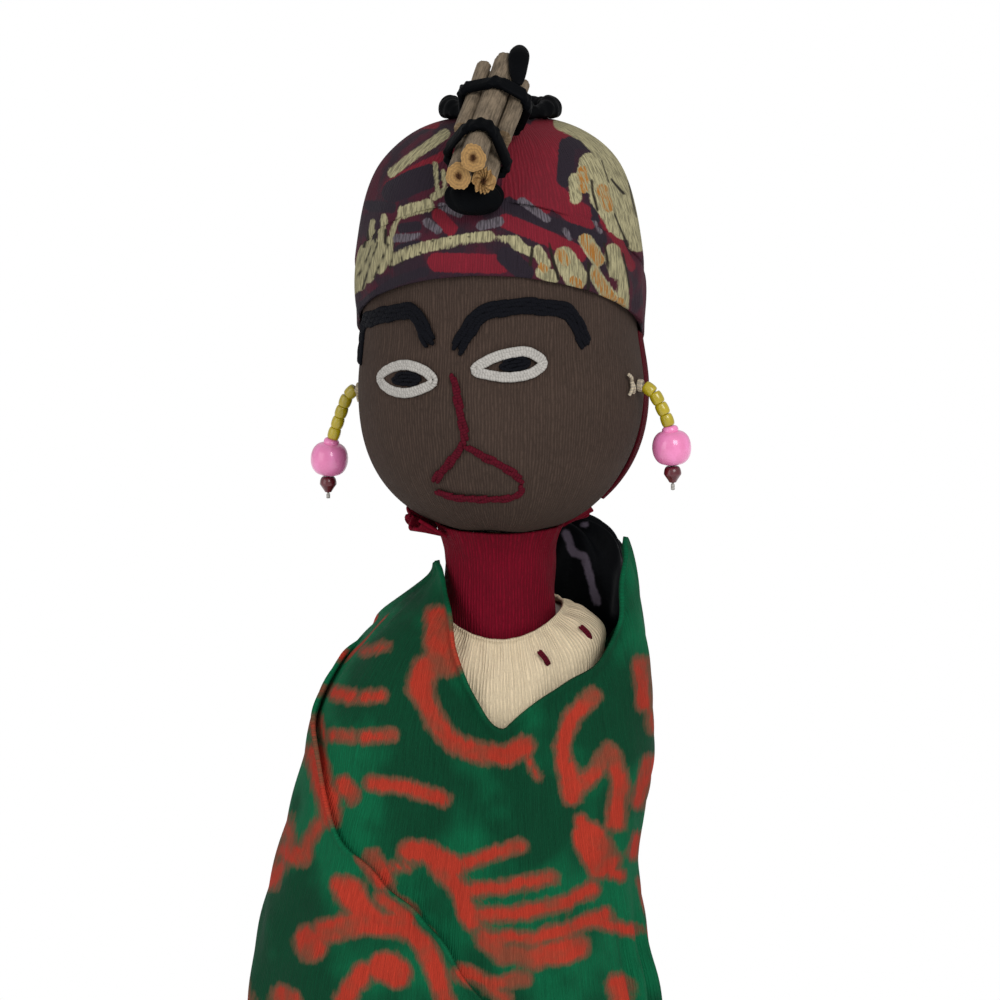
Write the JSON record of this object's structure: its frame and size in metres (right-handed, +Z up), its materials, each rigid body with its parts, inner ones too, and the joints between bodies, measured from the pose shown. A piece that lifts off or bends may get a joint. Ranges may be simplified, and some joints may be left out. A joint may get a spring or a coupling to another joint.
{
  "type": "cloth doll",
  "caption": "Standing stuffed cloth doll with embroidered face, wrapped headcloth, beaded drop earrings, printed shawl over a plain dress and a bundle of firewood on its head.",
  "frame": {"origin": "centre of the base disc's underside, on the surface the doll stands on, below the neck's axis", "axes": "+Z up along the doll's height, -Y towards the front of the body, +X towards the doll's left; the face is turned 17 degrees to the doll's right at rest"},
  "size_m": [0.111, 0.111, 0.3035],
  "materials": {
    "wood": "bare softwood",
    "stuffing": "fibre stuffing",
    "cream_cloth": "cream ribbed cotton jersey",
    "green_cloth": "dark green cotton with an orange-red brush-stroke print",
    "crimson_cloth": "dark crimson jersey",
    "brown_cloth": "ribbed brown stockinet",
    "print_cloth": "burgundy, cream and gold printed cotton",
    "black_cloth": "black satin cloth",
    "bark": "grey-brown bark with pale cut ends",
    "black_thread": "dark embroidery thread",
    "pale_thread": "off-white embroidery thread",
    "red_thread": "dark red embroidery thread",
    "yellow_bead": "glossy yellow",
    "pink_bead": "glossy translucent pink",
    "dark_bead": "glossy dark red"
  },
  "bodies": {
    "body": {"back_bundle": "black_cloth", "back_bundle_body": "black_cloth", "base_disc": "wood", "body_stuffing": "stuffing", "dress_bodice": "cream_cloth", "dress_skirt": "cream_cloth", "front_stitch": "red_thread", "left_arm": "cream_cloth", "right_arm": "cream_cloth", "shawl": "green_cloth", "side_stitch": "red_thread", "spine_dowel": "wood", "waist_tie": "cream_cloth"},
    "head": {"neck_stuffing": "stuffing", "neck_sleeve": "crimson_cloth", "head_stuffing": "stuffing", "face_cover": "brown_cloth", "head_hood": "crimson_cloth", "hood_frill": "crimson_cloth", "headwrap_band": "print_cloth", "headwrap_crown": "print_cloth", "head_ring": "black_cloth", "front_pad": "black_cloth", "stick_1": "bark", "stick_2": "bark", "stick_3": "bark", "stick_4": "bark", "stick_5": "bark", "front_tie": "black_cloth", "rear_tie": "black_cloth", "tie_tail": "black_cloth", "left_brow": "black_thread", "right_brow": "black_thread", "left_eye": "pale_thread", "right_eye": "pale_thread", "left_pupil": "black_thread", "right_pupil": "black_thread", "nose_stitch": "red_thread", "mouth_stitch": "red_thread", "left_ear_stitch": "pale_thread", "right_ear_stitch": "pale_thread"},
    "left_earring": {"left_collar_bead": "pink_bead", "left_earring_thread": "pale_thread", "left_seed_bead_1": "yellow_bead", "left_seed_bead_2": "yellow_bead", "left_seed_bead_3": "yellow_bead", "left_seed_bead_4": "yellow_bead", "left_tip_bead": "dark_bead"},
    "right_earring": {"right_collar_bead": "pink_bead", "right_earring_thread": "pale_thread", "right_seed_bead_1": "yellow_bead", "right_seed_bead_2": "yellow_bead", "right_seed_bead_3": "yellow_bead", "right_seed_bead_4": "yellow_bead", "right_seed_bead_5": "yellow_bead", "right_tip_bead": "dark_bead"},
    "left_bead": {"left_pink_bead": "pink_bead"},
    "right_bead": {"right_pink_bead": "pink_bead"}
  },
  "joints": [
    {"name": "head_turn", "type": "hinge", "parent": "body", "child": "head", "pos_m": [0, 0, 0.1752], "axis": [0, 0, 1], "range_deg": [-20, 50]},
    {"name": "left_earring_swing", "type": "hinge", "parent": "head", "child": "left_earring", "pos_m": [0.02821, -0.01027, 0.23412], "axis": [0.9397, -0.342, 0], "range_deg": [-35, 35]},
    {"name": "right_earring_swing", "type": "hinge", "parent": "head", "child": "right_earring", "pos_m": [-0.02919, 0.00728, 0.23049], "axis": [-0.9703, 0.2419, 0], "range_deg": [-35, 35]},
    {"name": "left_bead_spin", "type": "hinge", "parent": "left_earring", "child": "left_bead", "pos_m": [0.0351, -0.01277, 0.22116], "axis": [-0.0532, 0.0194, 0.9984], "continuous": true},
    {"name": "right_bead_spin", "type": "hinge", "parent": "right_earring", "child": "right_bead", "pos_m": [-0.03634, 0.00906, 0.21453], "axis": [0.0848, -0.0212, 0.9962], "continuous": true}
  ]
}
